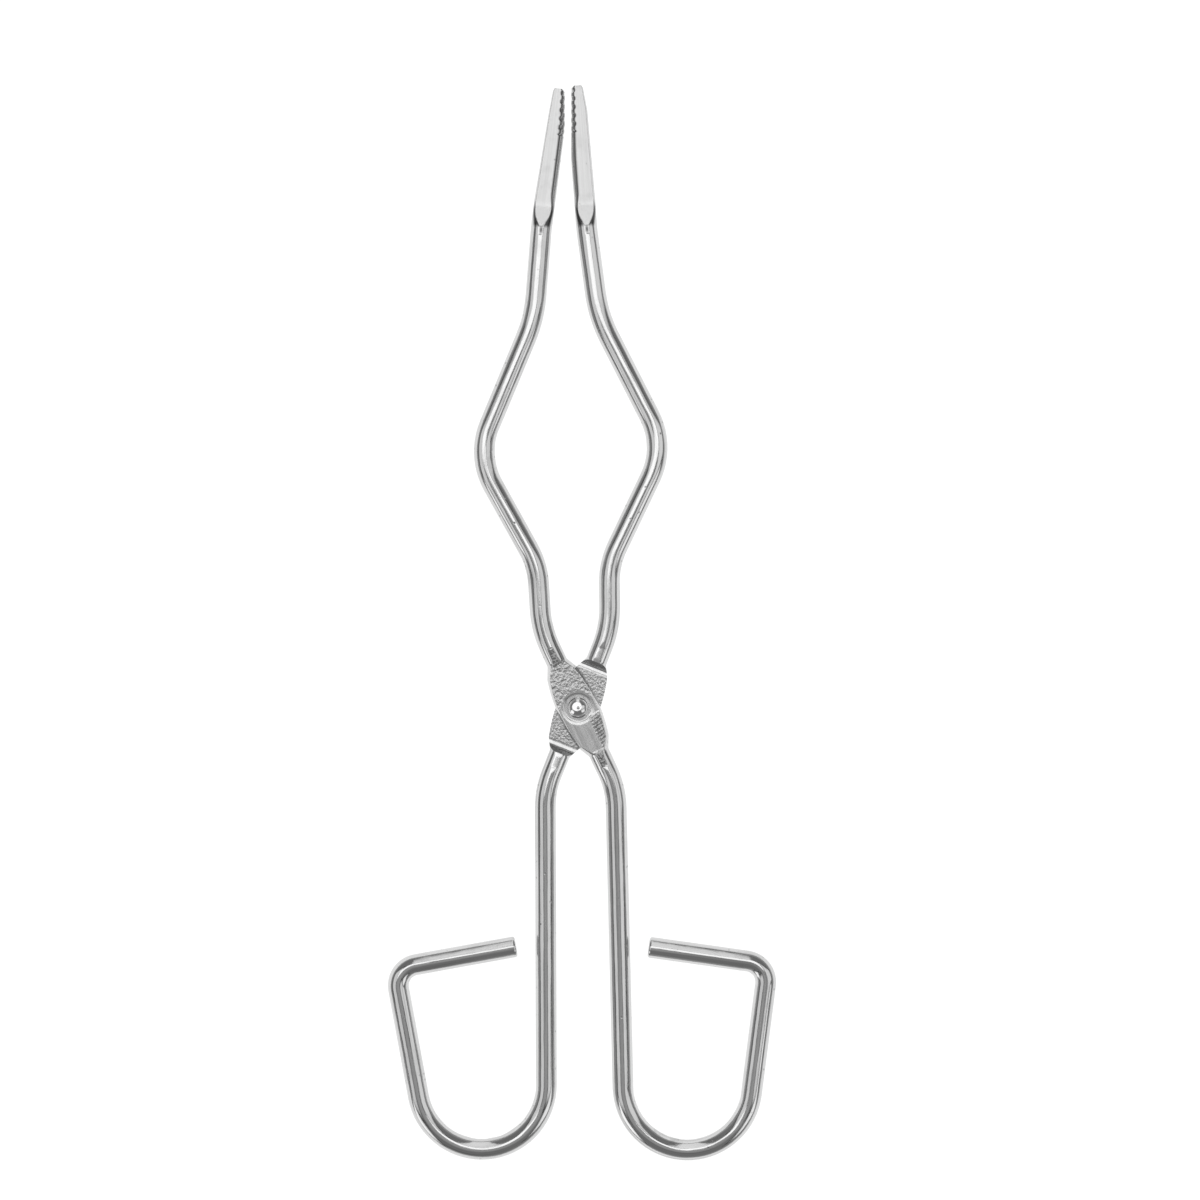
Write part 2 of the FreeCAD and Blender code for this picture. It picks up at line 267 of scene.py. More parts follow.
def section_at(s, length, jaw_length, rivet_at, inner_edge, outer_edge):
    from_root = jaw_length - s
    y = s - rivet_at
    row = dict(inner=ROD, outer=ROD, inner_rise=ROD, outer_rise=ROD, upper=FAR, lower=FAR)
    row.update(grip=FAR * 9, hinge=FAR * 9, jaw=0.0, end_mark=0.0, flat_end=0.0)

    if from_root > FLAT_RUNOUT - 1:
        bar = eased(from_root, 1.0, BAR_START + 2.0)
        flat = blended(from_root, [
            (FLAT_START, BASE_THICKNESS / 2), (jaw_length, TIP_THICKNESS / 2)])
        flat += (ROD - flat) * (1 - eased(from_root, FLAT_RUNOUT, FLAT_START))
        row["upper"] = row["lower"] = flat
        trimmed = max(0.0, TIP_BEVEL - s) * 0.85
        inner = blended(s, inner_edge) - trimmed
        outer = blended(s, outer_edge) - trimmed * 0.5
        row["inner"] = ROD + (inner - ROD) * bar
        row["outer"] = ROD + (outer - ROD) * bar
        row["inner_rise"] = ROD + (flat * INNER_SIDE_RISE - ROD) * bar
        row["outer_rise"] = ROD + (flat * OUTER_SIDE_RISE - ROD) * bar
        row["grip"] = s
        row["jaw"] = eased(from_root, 0.0, 1.2)
        row["flat_end"] = eased(from_root, -0.2, 0.8) * eased(BAR_START + 0.5 - from_root, 0.0, 3.0)
        # A weight for the painted shade at the end of the flat's run-out
        row["end_mark"] = max(0.0, 1 - ((from_root - FLAT_RUNOUT) / 1.1) ** 2)

    if abs(y) < PRESS_REACH + PRESS_RUNOUT:
        reach = abs(y)
        curve = SWELL - (SWELL - SWELL_SHOULDER) * (reach / SWELL_SHOULDER_REACH) ** 2
        radius = curve if reach < SWELL_SHOULDER_REACH else blended(reach, [
            (SWELL_SHOULDER_REACH, SWELL_SHOULDER), (SWELL_REACH, SWELL_END)])
        radius = ROD + (max(radius - ROD, 0.0) ** 1.5 + 0.05 ** 1.5) ** (1 / 1.5) - 0.05
        for key in ("inner", "outer", "inner_rise", "outer_rise"):
            row[key] = radius
        row["upper"] = row["lower"] = blended(reach, [
            (PRESS_REACH - 0.8, PLATE_FACE), (PRESS_REACH + 0.4, 2.41),
            (PRESS_REACH + PRESS_RUNOUT - 0.15, 2.45), (PRESS_REACH + PRESS_RUNOUT, ROD)])
        climb = max(0.0, reach - LAP_REACH)
        if climb < LAP_SHOULDER:
            foot = FOOT_SLOPE * min(climb, SHOULDER_FOOT) * (1 if y > 0 else -1)
            wall = max(0.0, climb - SHOULDER_FOOT) / (LAP_SHOULDER - SHOULDER_FOOT)
            row["lower"] = -LAP_GAP / 2 + foot + (PLATE_FACE + LAP_GAP / 2 - foot) * wall ** 2
        row["hinge"] = y

    from_end = length - s
    if from_end < ROD_END_BEVEL:
        rest = 1 - from_end / ROD_END_BEVEL
        shrink = 1 - (1 - (1 - rest ** 2) ** 0.5) * ROD_END_BEVEL / ROD
        for key in ("inner", "outer", "inner_rise", "outer_rise"):
            row[key] *= shrink
    return row


SIZES = ["inner", "outer", "inner_rise", "outer_rise", "upper", "lower", "grip", "hinge"]
SHARES = ["jaw", "squeeze", "end_mark", "flat_end"]


def arm_guide(name, bends):
    """A line of points along the arm's path. Each carries the sizes of the section there."""
    path, root, tip, tip_middle, jaw_length, rivet_at = arm_path(bends)
    inner_edge, outer_edge = jaw_outline(bends, root, tip, tip_middle)
    lap_end = LAP_REACH + LAP_SHOULDER
    special = [
        (0.0, 12.0, 0.12), (12.0, jaw_length - 6.5, 0.6),
        (jaw_length - 6.5, jaw_length + 2.0, 0.22),
        (rivet_at - 15.5, rivet_at - lap_end, 0.22), (rivet_at - lap_end, rivet_at - 9.3, 0.1),
        (rivet_at - 9.3, rivet_at + 9.3, 0.17), (rivet_at + 9.3, rivet_at + lap_end, 0.1),
        (rivet_at + lap_end, rivet_at + 15.5, 0.22),
        (path.length - 0.7, path.length, 0.07), (0.0, 0.6, 0.075),
    ]
    stops = path.steps(special)
    for edge in (rivet_at - lap_end - 0.025, rivet_at + lap_end + 0.025):
        stops.append(edge)
    stops.sort()
    rows = [section_at(s, path.length, jaw_length, rivet_at, inner_edge, outer_edge) for s in stops]
    for s, row in zip(stops, rows):
        row["squeeze"] = path.squeeze(s)
    mesh = bpy.data.meshes.new(name + "_guide")
    places = [path.at(s) for s in stops]
    mesh.from_pydata([(p.x * MM, p.y * MM, 0) for p, _ in places],
                     [(k, k + 1) for k in range(len(places) - 1)], [])
    for key in SIZES + SHARES:
        layer = mesh.attributes.new(key, "FLOAT", "POINT")
        layer.data.foreach_set("value", [row[key] * (MM if key in SIZES else 1) for row in rows])
    layer = mesh.attributes.new("axis_point", "FLOAT_VECTOR", "POINT")
    layer.data.foreach_set("vector", [v for p, _ in places for v in (p.x * MM, p.y * MM, 0)])
    layer = mesh.attributes.new("sideways", "FLOAT_VECTOR", "POINT")
    layer.data.foreach_set("vector", [v for _, d in places for v in (-d.y, d.x, 0)])
    layer = mesh.attributes.new("travel", "FLOAT", "POINT")
    layer.data.foreach_set("value", [s * MM for s in stops])
    return mesh


# ----------------------------------------------------------------------
# Small helpers for node trees
# ----------------------------------------------------------------------
class Term:
    """A value in a node tree that arithmetic can be written with."""

    def __init__(self, tree, socket):
        self.tree, self.socket = tree, socket

    def math(self, operation, *others):
        node = self.tree.nodes.new("ShaderNodeMath")
        node.operation = operation
        for k, value in enumerate((self,) + others):
            feed(self.tree, value, node.inputs[k])
        return Term(self.tree, node.outputs[0])

    def __add__(self, other):
        return self.math("ADD", other)

    def __radd__(self, other):
        return self.math("ADD", other)

    def __sub__(self, other):
        return self.math("SUBTRACT", other)

    def __mul__(self, other):
        return self.math("MULTIPLY", other)

    def __rmul__(self, other):
        return self.math("MULTIPLY", other)

    def __truediv__(self, other):
        return self.math("DIVIDE", other)

    def __neg__(self):
        return self * -1.0


def feed(tree, value, socket):
    """Links a value into a socket, or sets it there."""
    if isinstance(value, Term):
        value = value.socket
    if isinstance(value, bpy.types.NodeSocket):
        tree.links.new(value, socket)
    else:
        socket.default_value = value


def ramped(term, low, high, start=0.0, end=1.0, smooth=False):
    """The term's place between low and high, from start to end, held flat beyond them."""
    node = term.tree.nodes.new("ShaderNodeMapRange")
    node.clamp = True
    node.interpolation_type = "SMOOTHSTEP" if smooth else "LINEAR"
    for k, value in enumerate((term, low, high, start, end)):
        feed(term.tree, value, node.inputs[k])
    return Term(term.tree, node.outputs[0])


def spread(term, span, start=0.0, end=1.0, smooth=False):
    """The same over a span given in millimetres."""
    return ramped(term, span[0] * MM, span[1] * MM, start, end, smooth)


def close_to(term, near, far, smooth=False):
    """1 where the term is within near of zero, and 0 beyond far, both in millimetres."""
    return ramped(term.math("ABSOLUTE"), near * MM, far * MM, 1.0, 0.0, smooth)


def mixed(share, low, high):
    return low + (high - low) * share


def node_in(tree, kind, settings=None, **inputs):
    """A new node with its settings and its inputs, which are named with _ for a space."""
    node = tree.nodes.new(kind)
    for key, value in (settings or {}).items():
        setattr(node, key, value)
    for key, value in inputs.items():
        socket = next(s for s in node.inputs if s.name == key.replace("_", " ") and s.enabled)
        feed(tree, value, socket)
    return node


def out_of(node, name):
    return next(s for s in node.outputs if s.name == name and s.enabled)


def vector_math(tree, operation, first, second):
    node = node_in(tree, "ShaderNodeVectorMath", {"operation": operation})
    feed(tree, first, node.inputs[0])
    feed(tree, second, node.inputs[1])
    return node.outputs[0]


# ----------------------------------------------------------------------
# The tree that makes an arm: a ring of points goes along the guide, and takes its section's shape
# ----------------------------------------------------------------------
# Points of the ring on each side and each flat, and how much they crowd towards the corners
SIDE_POINTS, FACE_POINTS = 20, 52
CORNER_CROWDING = 0.55
WIDEST_FLAT = 52

# Where marks and finishes start and are full, in mm. Along the hinge, - is towards the jaws
ABOVE_RIVET, TAIL_SPAN, ROUND_RIVET = (-1.0, -3.2), (11.0, 12.0), (3.5, 4.6)
EDGE_STRIP_ACROSS, EDGE_STRIP_ALONG = (1.3, 1.9), (2.6, 3.6)
FLOOR_CENTRE, FLOOR_MARKS_END = (1.9, 2.6), (8.9, 9.3)
ON_FACE, RIM_REACH = (0.02, 0.07), 0.35
MARKED_EDGE = 0.03

ARM_INPUTS = [
    ("Rim Radius", "NodeSocketFloat", 0.26 * MM),
    ("Tooth Pitch", "NodeSocketFloat", 2.0 * MM),
    ("Toothed Length", "NodeSocketFloat", 11.0 * MM),
    ("Groove Radius", "NodeSocketFloat", 0.65 * MM),
    ("Groove Depth", "NodeSocketFloat", 0.38 * MM),
    ("Seat Radius", "NodeSocketFloat", SEAT_RADIUS * MM),
    ("Seat Depth", "NodeSocketFloat", SEAT_DEPTH * MM),
    ("Bore Radius", "NodeSocketFloat", SHANK_RADIUS * MM),
    ("Hammer Depth", "NodeSocketFloat", 0.10 * MM),
    ("Out Of Round", "NodeSocketFloat", 0.10 * MM),
    ("Hammer Size", "NodeSocketFloat", 1.0),
    ("Squeeze Depth", "NodeSocketFloat", 0.12 * MM),
    ("Seed", "NodeSocketFloat", 1.0),
    ("Steel", "NodeSocketMaterial", None),
]


def arm_tree():
    tree = bpy.data.node_groups.new("bent_and_forged_arm", "GeometryNodeTree")
    tree.interface.new_socket(name="Guide", in_out="INPUT", socket_type="NodeSocketGeometry")
    for name, kind, value in ARM_INPUTS:
        socket = tree.interface.new_socket(name=name, in_out="INPUT", socket_type=kind)
        if value is not None:
            socket.default_value = value
    tree.interface.new_socket(name="Arm", in_out="OUTPUT", socket_type="NodeSocketGeometry")
    given = tree.nodes.new("NodeGroupInput")
    result = tree.nodes.new("NodeGroupOutput")

    def size(name):
        return Term(tree, given.outputs[name])

    def carried(name, kind="FLOAT"):
        node = node_in(tree, "GeometryNodeInputNamedAttribute", {"data_type": kind}, Name=name)
        return Term(tree, out_of(node, "Attribute"))

    def noise(place, seed_shift, scale, **more):
        node = node_in(tree, "ShaderNodeTexNoise", {"noise_dimensions": "4D"},
                       Vector=place.outputs[0], W=size("Seed") + seed_shift, Scale=scale, **more)
        return Term(tree, node.outputs[0])

    ring_points = 2 * (SIDE_POINTS + FACE_POINTS)
    ring = node_in(tree, "GeometryNodeCurvePrimitiveCircle", Resolution=ring_points,
                   Radius=ROD * MM)
    count = tree.nodes.new("GeometryNodeInputIndex")
    ring = node_in(tree, "GeometryNodeStoreNamedAttribute",
                   {"data_type": "FLOAT", "domain": "POINT"},
                   Geometry=ring.outputs["Curve"], Name="ring_place", Value=count.outputs[0])
    line = node_in(tree, "GeometryNodeMeshToCurve", Mesh=given.outputs["Guide"])
    swept = node_in(tree, "GeometryNodeCurveToMesh", Curve=line.outputs[0],
                    Profile_Curve=ring.outputs[0], Fill_Caps=True)

    # The angle of each ring point: its corners stay on the edges of the pressed flats
    place = carried("ring_place")
    upper, lower = carried("upper"), carried("lower")
    inner_rise, outer_rise = carried("inner_rise"), carried("outer_rise")
    widest = radians(WIDEST_FLAT)

    def edge_angle(height, rise):
        return (height / rise).math("MINIMUM", 1.0).math("MAXIMUM", -1.0).math("ARCSINE") \
            .math("MINIMUM", widest)

    up_in, up_out = edge_angle(upper, inner_rise), edge_angle(upper, outer_rise)
    low_in, low_out = edge_angle(lower, inner_rise), edge_angle(lower, outer_rise)
    marks = [0, SIDE_POINTS, SIDE_POINTS + FACE_POINTS, 2 * SIDE_POINTS + FACE_POINTS, ring_points]
    parts = [up_in + low_in, (up_in + up_out) * -1.0 + pi, up_out + low_out,
             (low_in + low_out) * -1.0 + pi]
    angle = -low_in
    for low, high, span in zip(marks, marks[1:], parts):
        share = ramped(place, float(low), float(high))
        clustered = mixed(CORNER_CROWDING, share, ramped(share, 0.0, 1.0, smooth=True))
        angle = angle + clustered * span

    cosine, sine = angle.math("COSINE"), angle.math("SINE")
    inner_side = cosine.math("GREATER_THAN", 0.0)
    width = mixed(inner_side, carried("outer"), carried("inner"))
    rise = mixed(inner_side, outer_rise, inner_rise)
    rim = size("Rim Radius")
    across = cosine * width
    height = sine * rise
    height = height.math("SMOOTH_MIN", upper, rim)
    height = height.math("SMOOTH_MAX", -lower, rim)

    # Grip teeth: round grooves across the jaw's inner side, at a steady pitch from the tip
    grip = carried("grip")
    pitch, radius, depth = size("Tooth Pitch"), size("Groove Radius"), size("Groove Depth")
    off_centre = ((grip / pitch).math("FRACT") - 0.5) * pitch
    bite = (radius * radius - off_centre * off_centre).math("MAXIMUM", 0.0).math("SQRT")
    bite = (bite - radius + depth).math("MAXIMUM", 0.0)
    bite = bite * grip.math("LESS_THAN", size("Toothed Length"))
    steep = ramped(cosine, 0.15, 0.75) * (sine.math("ABSOLUTE") + 0.35)
    across = across - bite * steep * carried("jaw")
    # Painted shade: a mask of the groove bottoms, which the steel's colour paints darker as shade
    # in the grooves
    tooth_groove_shade = ramped(bite / depth, 0.15, 0.8) * ramped(cosine, 0.3, 0.6) \
        * ramped(sine.math("ABSOLUTE"), 0.2, 0.55)

    # The hinge: hammered faces, a smooth patch round the rivet, and the ring that its seat makes
    hinge = carried("hinge")
    on_hinge = hinge.math("ABSOLUTE").math("LESS_THAN", HINGE_REACH * MM)
    from_rivet = (hinge * hinge + across * across).math("SQRT")
    upper_face = ramped(sine, 0.0, 0.2) * on_hinge
    inside = close_to(height - upper, *ON_FACE)
    underside = close_to(height + lower, *ON_FACE)
    floor_face = underside * hinge.math("ABSOLUTE").math("LESS_THAN", (LAP_REACH + 0.2) * MM)
    pattern_place = node_in(tree, "ShaderNodeCombineXYZ", X=across, Y=hinge, Z=height * 0.5)
    crinkle = noise(pattern_place, 0.0, size("Hammer Size") * 1300.0, Detail=1.5, Roughness=0.5,
                    Distortion=0.4)
    ripple = noise(pattern_place, 7.0, size("Hammer Size") * 650.0, Detail=1.0)
    dents = ramped(crinkle, 0.3, 0.7)
    waves = ramped(ripple, 0.35, 0.65)
    above = spread(hinge, ABOVE_RIVET, smooth=True)
    tail = spread(hinge.math("ABSOLUTE"), TAIL_SPAN)
    strip = spread(across, EDGE_STRIP_ACROSS) * spread(hinge, EDGE_STRIP_ALONG)
    strip = strip.math("MAXIMUM", tail)
    ridged = strip * (tail * -1.0 + 1.0)
    clear_of_rivet = spread(from_rivet, ROUND_RIVET, smooth=True)
    hammered = (above + strip).math("MINIMUM", 1.0) * clear_of_rivet
    upper_mask = upper_face * inside * hammered
    floor_mask = floor_face * spread(from_rivet, FLOOR_CENTRE) * close_to(hinge, *FLOOR_MARKS_END)
    amount = size("Hammer Depth")
    cut = (dents * mixed(ridged, 0.8, 0.2) + waves * 0.45) * amount
    seat = ramped(from_rivet, size("Seat Radius") - 0.16 * MM, size("Seat Radius") + 0.10 * MM,
                  1.0, 0.0, smooth=True)
    seat_edge = close_to(from_rivet - size("Seat Radius") - 0.25 * MM, 0.0, 0.3, smooth=True)
    height = height - upper_mask * cut - seat * upper_face * inside * size("Seat Depth")
    height = height - seat_edge * upper_face * inside * MARKED_EDGE * MM
    height = height + floor_mask * cut * 0.5

    # Drawn rod is never quite round, and its section drifts along its length
    lobe_place = node_in(tree, "ShaderNodeCombineXYZ", X=cosine * 0.9, Y=carried("travel") * 38.0,
                         Z=sine * 0.9)
    lobes = noise(lobe_place, 20.0, 1.0, Detail=2.0, Roughness=0.55)
    round_part = (on_hinge + carried("jaw")).math("MINIMUM", 1.0) * -1.0 + 1.0
    lobe = (lobes * -1.0 + 0.5).math("MINIMUM", 0.0) * size("Out Of Round") \
        * round_part
    across = across + cosine * lobe
    height = height + sine * lobe

    # The inner side of each bend is squeezed by the former, and takes shallow dents
    squeezed = (carried("squeeze") * cosine).math("MAXIMUM", 0.0) * ramped(sine, -0.4, 0.1)
    dent_place = node_in(tree, "ShaderNodeCombineXYZ", X=across * 1.6, Y=carried("travel"),
                         Z=height * 1.6)
    dent_noise = noise(dent_place, 3.0, 210.0, Detail=1.5)
    dent = ramped(dent_noise, 0.42, 0.68, smooth=True) * squeezed \
        * size("Squeeze Depth")
    across = across - cosine * dent
    height = height - sine * dent

    # Where the points go, and what the steel's finish needs to know about them
    side_shift = node_in(tree, "ShaderNodeVectorMath", {"operation": "SCALE"},
                         Vector=carried("sideways", "FLOAT_VECTOR"), Scale=across)
    rise_shift = node_in(tree, "ShaderNodeCombineXYZ", Z=height)
    moved = vector_math(tree, "ADD", side_shift.outputs[0], rise_shift.outputs[0])
    point = vector_math(tree, "ADD", carried("axis_point", "FLOAT_VECTOR"), moved)

    straight = node_in(tree, "ShaderNodeCombineXYZ", X=across, Y=carried("travel"), Z=height)
    corner = close_to(sine * rise - upper, 0.0, RIM_REACH)
    corner = corner.math("MAXIMUM", close_to(sine * rise + lower, 0.0, RIM_REACH))
    pressed = (carried("jaw") + on_hinge).math("MINIMUM", 1.0)
    off_flat = upper - sine.math("ABSOLUTE") * rise
    # Painted shade: the fold at the jaw flat's inner edge, the fangs beside the flat's run-out and
    # the run-out's end are stored to be painted nearly black, for the dark reflections there
    fold_line_shade = close_to(off_flat, 0.06, 0.2) * carried("jaw") * inner_side \
        * ramped(cosine, 0.25, 0.4)
    run_out_fang_shade = spread(off_flat, (-0.05, 0.02)) * spread(off_flat, (0.5, 1.0), 1.0, 0.0) \
        * carried("flat_end")
    kept = swept.outputs[0]
    stored = [
        ("straight_place", "FLOAT_VECTOR", straight.outputs[0]),
        ("hammered", "FLOAT", (upper_mask + floor_mask).math("MINIMUM", 1.0)),
        ("rim", "FLOAT", corner * pressed),
        ("face", "FLOAT", inside.math("MAXIMUM", underside) * pressed),
        ("ridged", "FLOAT", ridged * upper_face * inside),
        ("squeezed", "FLOAT", squeezed),
        ("jaw_side", "FLOAT", carried("jaw")),
        ("tooth_groove_shade", "FLOAT", tooth_groove_shade * carried("jaw")),
        ("run_out", "FLOAT", carried("flat_end")),
        # Painted shade: the pressed tails of the hinge are marked here to be painted darker, for
        # the darker reflection that they show
        ("tail", "FLOAT", tail * on_hinge * spread(sine * rise - upper, (-0.1, -0.02))),
        ("fold_painted_shade", "FLOAT", fold_line_shade.math("MAXIMUM", run_out_fang_shade)
         .math("MAXIMUM", carried("end_mark") * close_to(across, 0.1, 0.6))),
        ("on_hinge", "FLOAT", on_hinge),
    ]
    for name, kind, value in stored:
        node = node_in(tree, "GeometryNodeStoreNamedAttribute",
                       {"data_type": kind, "domain": "POINT"}, Geometry=kept, Name=name,
                       Value=value)
        kept = node.outputs[0]
    shaped = node_in(tree, "GeometryNodeSetPosition", Geometry=kept, Position=point)

    drill = node_in(tree, "GeometryNodeMeshCylinder", Vertices=72, Radius=size("Bore Radius"),
                    Depth=ROD * 6 * MM)
    drilled = node_in(tree, "GeometryNodeMeshBoolean",
                      {"operation": "DIFFERENCE", "solver": "EXACT"},
                      Mesh_1=shaped.outputs[0], Mesh_2=drill.outputs["Mesh"])
    smooth = node_in(tree, "GeometryNodeSetShadeSmooth", Geometry=drilled.outputs[0])
    real = node_in(tree, "GeometryNodeRealizeInstances", Geometry=smooth.outputs[0])
    finished = node_in(tree, "GeometryNodeSetMaterial", Geometry=real.outputs[0],
                       Material=given.outputs["Steel"])
    tree.links.new(finished.outputs[0], result.inputs[0])
    return tree


def make_arm(name, bends, tree, steel, seed, values, turned_over):
    """One arm as a plain mesh object, from the tree that bends and forges it."""
    guide = bpy.data.objects.new(name, arm_guide(name, bends))
    bpy.context.scene.collection.objects.link(guide)
    modifier = guide.modifiers.new("forging", "NODES")
    modifier.node_group = tree
    identifiers = {item.name: item.identifier for item in tree.interface.items_tree
                   if item.in_out == "INPUT"}
    for key, value in dict(values, Seed=seed, Steel=steel).items():
        modifier[identifiers[key]] = value
    graph = bpy.context.evaluated_depsgraph_get()
    mesh = bpy.data.meshes.new_from_object(
        guide.evaluated_get(graph), preserve_all_data_layers=True, depsgraph=graph)
    guide.modifiers.remove(modifier)
    mesh.name = name
    if turned_over:
        mesh.transform(Matrix.Rotation(pi, 4, "Y"))
    mesh.transform(Matrix.Translation((0, 0, MIDDLE_PLANE * MM)))
    shaped = bmesh.new()
    shaped.from_mesh(mesh)
    bmesh.ops.remove_doubles(shaped, verts=shaped.verts, dist=0.4e-6)
    bmesh.ops.dissolve_degenerate(shaped, dist=0.3e-6, edges=shaped.edges)
    bmesh.ops.recalc_face_normals(shaped, faces=shaped.faces)
    shaped.to_mesh(mesh)
    shaped.free()
    spare = [a.name for a in mesh.attributes
             if a.name in SIZES + SHARES + ["axis_point", "sideways", "travel", "ring_place"]]
    for layer in spare:
        mesh.attributes.remove(mesh.attributes[layer])
    mesh.set_sharp_from_angle(angle=radians(42))
    guide.data = mesh
    return guide


# ----------------------------------------------------------------------
# Finishes of the steel
# ----------------------------------------------------------------------
def finish_group(name, inputs, outputs):
    group = bpy.data.node_groups.new(name, "ShaderNodeTree")
    for label, value in inputs:
        kind = "NodeSocketVector" if value is None else "NodeSocketFloat"
        socket = group.interface.new_socket(name=label, in_out="INPUT", socket_type=kind)
        if value is not None:
            socket.default_value = value
    for label in outputs:
        group.interface.new_socket(name=label, in_out="OUTPUT", socket_type="NodeSocketFloat")
    return group, group.nodes.new("NodeGroupInput"), group.nodes.new("NodeGroupOutput")


def stretched(group, given, across, along):
    """The place, with one of the group's inputs times it round the rod and another along it."""
    stretch = node_in(group, "ShaderNodeCombineXYZ", X=given.outputs[across],
                      Y=given.outputs[along], Z=given.outputs[across])
    return vector_math(group, "MULTIPLY", given.outputs["Place"], stretch.outputs[0])


def drawn_lines_group():
    """Faint lines along the rod, left by the die that it was drawn through. The darkest of them
    also serve as a painted reflection of the thin dark lines along the rods.
    """
    group, given, result = finish_group(
        "drawn_lines", [("Place", None), ("Lines", 1900.0), ("Length", 14.0)],
        ["Height", "Tone", "Score And Reflection"])
    noise = node_in(group, "ShaderNodeTexNoise", Vector=stretched(group, given, "Lines", "Length"),
                    Scale=1.0, Detail=3.0, Roughness=0.6)
    value = Term(group, noise.outputs[0])
    feed(group, value, result.inputs["Height"])
    feed(group, ramped(value, 0.3, 0.7), result.inputs["Tone"])
    feed(group, ramped(value, 0.60, 0.67), result.inputs["Score And Reflection"])
    return group


def ripple_group():
    """Slow unevenness of a hand-bent rod, which makes its reflections waver."""
    group, given, result = finish_group(
        "rod_ripple", [("Place", None), ("Round", 520.0), ("Along", 105.0)], ["Height"])
    noise = node_in(group, "ShaderNodeTexNoise", Vector=stretched(group, given, "Round", "Along"),
                    Scale=1.0, Detail=2.0)
    feed(group, noise.outputs[0], result.inputs["Height"])
    return group


def pits_group():
    """Small pits and nicks in the plating, few and scattered."""
    group, given, result = finish_group(
        "plating_pits", [("Place", None), ("Density", 900.0), ("Share", 0.12)], ["Mask"])
    cells = node_in(group, "ShaderNodeTexVoronoi", Vector=given.outputs["Place"],
                    Scale=Term(group, given.outputs["Density"]))
    near = Term(group, cells.outputs["Distance"])
    chosen = node_in(group, "ShaderNodeSeparateColor", Color=cells.outputs["Color"])
    pick = Term(group, chosen.outputs[0]).math("LESS_THAN", Term(group, given.outputs["Share"]))
    areas = node_in(group, "ShaderNodeTexNoise", Vector=given.outputs["Place"], Scale=90.0)
    patch = ramped(Term(group, areas.outputs[0]), 0.45, 0.6)
    feed(group, ramped(near, 0.12, 0.3, 1.0, 0.0) * pick * patch, result.inputs["Mask"])
    return group


def scratches_group():
    """Hair scratches in two directions, from handling and polishing."""
    group, given, result = finish_group(
        "hair_scratches", [("Place", None), ("Fineness", 700.0), ("Share", 0.5)], ["Mask"])
    total = None
    for turn, run in ((24.0, 0.035), (-52.0, 0.05)):
        mapped = node_in(group, "ShaderNodeMapping", Vector=given.outputs["Place"])
        mapped.inputs["Rotation"].default_value = (0.3, radians(turn), radians(turn))
        mapped.inputs["Scale"].default_value = (1.0, run, 1.0)
        noise = node_in(group, "ShaderNodeTexNoise", Vector=mapped.outputs[0],
                        Scale=Term(group, given.outputs["Fineness"]) * 6.0, Detail=1.0)
        hair = ramped((Term(group, noise.outputs[0]) - 0.5).math("ABSOLUTE"), 0.0, 0.012, 1.0, 0.0)
        total = hair if total is None else total.math("MAXIMUM", hair)
    patch = node_in(group, "ShaderNodeTexNoise", Vector=given.outputs["Place"], Scale=160.0)
    feed(group, total * ramped(Term(group, patch.outputs[0]), 0.45, 0.65)
         * Term(group, given.outputs["Share"]), result.inputs["Mask"])
    return group


def handling_wear_group():
    """Blotches where the plating has dulled, and the brighter steel of its worn edges."""
    group, given, result = finish_group(
        "handling_wear", [("Place", None), ("Edge", 0.0), ("Size", 130.0)], ["Dull", "Bright"])
    noise = node_in(group, "ShaderNodeTexNoise", Vector=given.outputs["Place"],
                    Scale=Term(group, given.outputs["Size"]), Detail=4.0, Roughness=0.65)
    blotch = Term(group, noise.outputs[0])
    feed(group, ramped(blotch, 0.52, 0.72), result.inputs["Dull"])
    feed(group, Term(group, given.outputs["Edge"]) * ramped(blotch, 0.35, 0.6, 0.5, 1.0),
         result.inputs["Bright"])
    return group


def attribute(tree, name, kind="Fac"):
    node = tree.nodes.new("ShaderNodeAttribute")
    node.attribute_name = name
    return Term(tree, node.outputs[kind])


def placed_group(tree, group, **inputs):
    node = tree.nodes.new("ShaderNodeGroup")
    node.node_tree = group
    for key, value in inputs.items():
        feed(tree, value, node.inputs[key])
    return node


def steel_material(name):
    material = bpy.data.materials.new(name)
    material.use_nodes = True
    return material, material.node_tree, material.node_tree.nodes["Principled BSDF"]


def colour_mix(tree, share, low, high):
    node = tree.nodes.new("ShaderNodeMix")
    node.data_type = "RGBA"
    feed(tree, share, node.inputs[0])
    for value, socket in ((low, node.inputs[6]), (high, node.inputs[7])):
        feed(tree, value if isinstance(value, Term) else (*value, 1.0), socket)
    return Term(tree, node.outputs[2])


RIDGE_PITCH = 0.78 * MM

# Colours of the metal, and of the painted shade and painted reflection laid on it
BRIGHT, PLAIN, DARK_PITS_AND_PAINTED_SHADE = (0.72, 0.72, 0.72), (0.60, 0.60, 0.60), (0.22, 0.22, 0.22)
WORN, POLISHED, DULLED = (0.80, 0.80, 0.80), (0.84, 0.84, 0.84), (0.56, 0.56, 0.56)
HAMMERED, SCORE_AND_PAINTED_REFLECTION, PAINTED_SHADE_BLACK = (0.50, 0.50, 0.50), (0.28, 0.28, 0.28), (0.05, 0.05, 0.05)


